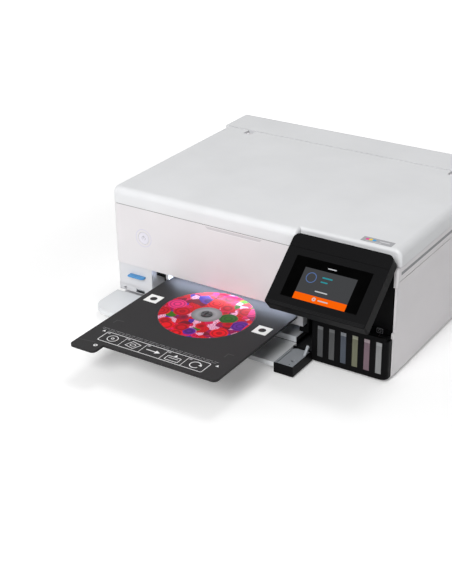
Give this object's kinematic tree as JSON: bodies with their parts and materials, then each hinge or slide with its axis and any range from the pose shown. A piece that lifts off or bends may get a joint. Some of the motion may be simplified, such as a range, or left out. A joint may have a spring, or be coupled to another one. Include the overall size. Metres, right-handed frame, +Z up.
{
  "type": "disc label printer",
  "caption": "Low desktop printer with scanner lid, tilting touch panel, ink tank windows, memory card slot and a tray that carries a disc under the print head.",
  "frame": {"origin": "on the table, below the middle of the whole outline", "axes": "+X to the right as seen from the front, +Y to the back, +Z up; the front with the disc tray faces -Y"},
  "size_m": [0.403, 0.5304, 0.162],
  "materials": {
    "lid_plastic": "satin",
    "case_plastic": "satin",
    "tray_plastic": "satin",
    "black_plastic": "satin",
    "gloss_black": "gloss",
    "chassis_plastic": "matte",
    "cover_plastic": "satin",
    "output_plastic": "satin",
    "white_plastic": "satin",
    "button_plastic": "satin",
    "screen_glass": "gloss",
    "disc_face": "gloss",
    "hub_plastic": "satin",
    "ink": "gloss",
    "steel": "brushed",
    "brass": "satin",
    "rubber": "matte",
    "pale_rubber": "matte",
    "circuit": "satin",
    "scan_glass": "clear",
    "card_plastic": "satin",
    "foam": "matte",
    "lamp_lens": "gloss"
  },
  "bodies": {
    "base": {"base_chassis": "chassis_plastic", "left_side_panel": "case_plastic", "right_side_panel": "case_plastic", "rear_panel": "case_plastic", "rubber_feet": "rubber", "power_inlet": "black_plastic", "data_ports": "steel", "power_supply": "black_plastic", "main_board": "circuit", "card_block": "case_plastic", "usb_socket": "steel", "tank_housing": "gloss_black", "ink_tanks": "ink", "tank_caps": "black_plastic", "tray_guides": "black_plastic", "entry_guides": "cover_plastic", "carriage_rail": "steel", "side_frames": "steel", "platen": "black_plastic", "bearing_plates": "chassis_plastic", "feed_motor": "steel", "timing_belt": "rubber", "carriage_motor": "steel", "rear_housing": "case_plastic"},
    "maintenance_box": {"maintenance_box": "chassis_plastic"},
    "memory_card": {"memory_card": "card_plastic"},
    "disc_tray": {"disc_tray": "tray_plastic", "disc_hub": "hub_plastic", "disc": "disc_face", "position_marks": "white_plastic"},
    "front_cover": {"front_cover": "cover_plastic", "cover_end": "black_plastic", "cover_end_liner": "output_plastic"},
    "paper_cassette": {"paper_cassette": "chassis_plastic"},
    "output_tray": {"output_tray": "output_plastic"},
    "feed_roller": {"feed_shaft": "steel", "feed_roller": "pale_rubber", "feed_gear": "white_plastic"},
    "motor_pinion": {"motor_pinion": "brass"},
    "exit_roller": {"exit_roller": "pale_rubber"},
    "print_carriage": {"print_carriage": "black_plastic", "print_head": "steel"},
    "idler_pulley": {"idler_pulley": "white_plastic"},
    "drive_pulley": {"drive_pulley": "brass"},
    "scanner_unit": {"front_fascia": "case_plastic", "scanner_bed": "case_plastic", "scanner_glass": "scan_glass", "panel_housing": "gloss_black", "icon_plate": "black_plastic", "tray_lamp": "lamp_lens", "button_switch": "white_plastic"},
    "scan_sensor_bar": {"scan_sensor_bar": "black_plastic"},
    "power_button": {"power_button": "button_plastic"},
    "document_lid": {"document_lid": "lid_plastic", "lid_hinge_pins": "steel", "lid_pad": "foam"},
    "rear_feed_cover": {"rear_feed_cover": "lid_plastic", "paper_support": "chassis_plastic"},
    "control_panel": {"control_panel": "gloss_black", "touch_screen": "screen_glass"}
  },
  "joints": [
    {"name": "scanner_lift", "type": "hinge", "parent": "base", "child": "scanner_unit", "pos_m": [0, 0.19425, 0.1575], "axis": [-1, 0, 0], "range_deg": [0, 30]},
    {"name": "lid_open", "type": "hinge", "parent": "scanner_unit", "child": "document_lid", "pos_m": [0, 0.19425, 0.1575], "axis": [-1, 0, 0], "range_deg": [0, 75]},
    {"name": "panel_tilt", "type": "hinge", "parent": "scanner_unit", "child": "control_panel", "pos_m": [0, -0.06994, 0.14972], "axis": [-1, 0, 0], "range_deg": [-49.5, 25]},
    {"name": "cover_fold", "type": "hinge", "parent": "base", "child": "front_cover", "pos_m": [0, -0.07675, 0.01], "axis": [-1, 0, 0], "range_deg": [0, 38]},
    {"name": "disc_tray_slide", "type": "slide", "parent": "base", "child": "disc_tray", "axis": [0, 1, 0], "range_m": [-0.03, 0.185]},
    {"name": "paper_cassette_slide", "type": "slide", "parent": "base", "child": "paper_cassette", "axis": [0, 1, 0], "range_m": [-0.19, 0]},
    {"name": "output_tray_slide", "type": "slide", "parent": "paper_cassette", "child": "output_tray", "axis": [0, 1, 0], "range_m": [-0.12, 0]},
    {"name": "rear_cover_fold", "type": "hinge", "parent": "base", "child": "rear_feed_cover", "pos_m": [0, 0.26125, 0.1533], "axis": [-1, 0, 0], "range_deg": [0, 100]},
    {"name": "power_button_press", "type": "slide", "parent": "scanner_unit", "child": "power_button", "axis": [0, 1, 0], "range_m": [0, 0.0012], "stiffness_N_per_m": 300},
    {"name": "scan_bar_slide", "type": "slide", "parent": "scanner_unit", "child": "scan_sensor_bar", "axis": [1, 0, 0], "range_m": [0, 0.32]},
    {"name": "carriage_slide", "type": "slide", "parent": "base", "child": "print_carriage", "axis": [1, 0, 0], "range_m": [-0.262, 0]},
    {"name": "idler_pulley_spin", "type": "hinge", "parent": "base", "child": "idler_pulley", "pos_m": [-0.1755, 0.15525, 0.087], "axis": [0, 0, 1], "range_deg": [-2500, 60]},
    {"name": "drive_pulley_spin", "type": "hinge", "parent": "base", "child": "drive_pulley", "pos_m": [0.1755, 0.15525, 0.087], "axis": [0, 0, 1], "range_deg": [-2500, 60]},
    {"name": "feed_roller_spin", "type": "hinge", "parent": "base", "child": "feed_roller", "pos_m": [-0.0245, 0.14525, 0.03935], "axis": [1, 0, 0], "continuous": true},
    {"name": "motor_pinion_spin", "type": "hinge", "parent": "base", "child": "motor_pinion", "pos_m": [-0.13, 0.1663, 0.03935], "axis": [1, 0, 0], "continuous": true},
    {"name": "exit_roller_spin", "type": "hinge", "parent": "base", "child": "exit_roller", "pos_m": [-0.0245, 0.03825, 0.04135], "axis": [1, 0, 0], "continuous": true},
    {"name": "memory_card_slide", "type": "slide", "parent": "base", "child": "memory_card", "axis": [0, 1, 0], "range_m": [-0.026, 0]},
    {"name": "maintenance_box_slide", "type": "slide", "parent": "base", "child": "maintenance_box", "axis": [0, 1, 0], "range_m": [0, 0.1]}
  ],
  "couplings": [
    {"joint": "idler_pulley_spin", "follows": "carriage_slide", "rad_per_m": 162.6},
    {"joint": "drive_pulley_spin", "follows": "carriage_slide", "rad_per_m": 162.6},
    {"joint": "motor_pinion_spin", "follows": "feed_roller_spin", "ratio": -3.3333},
    {"joint": "exit_roller_spin", "follows": "feed_roller_spin", "ratio": 1.4444}
  ]
}
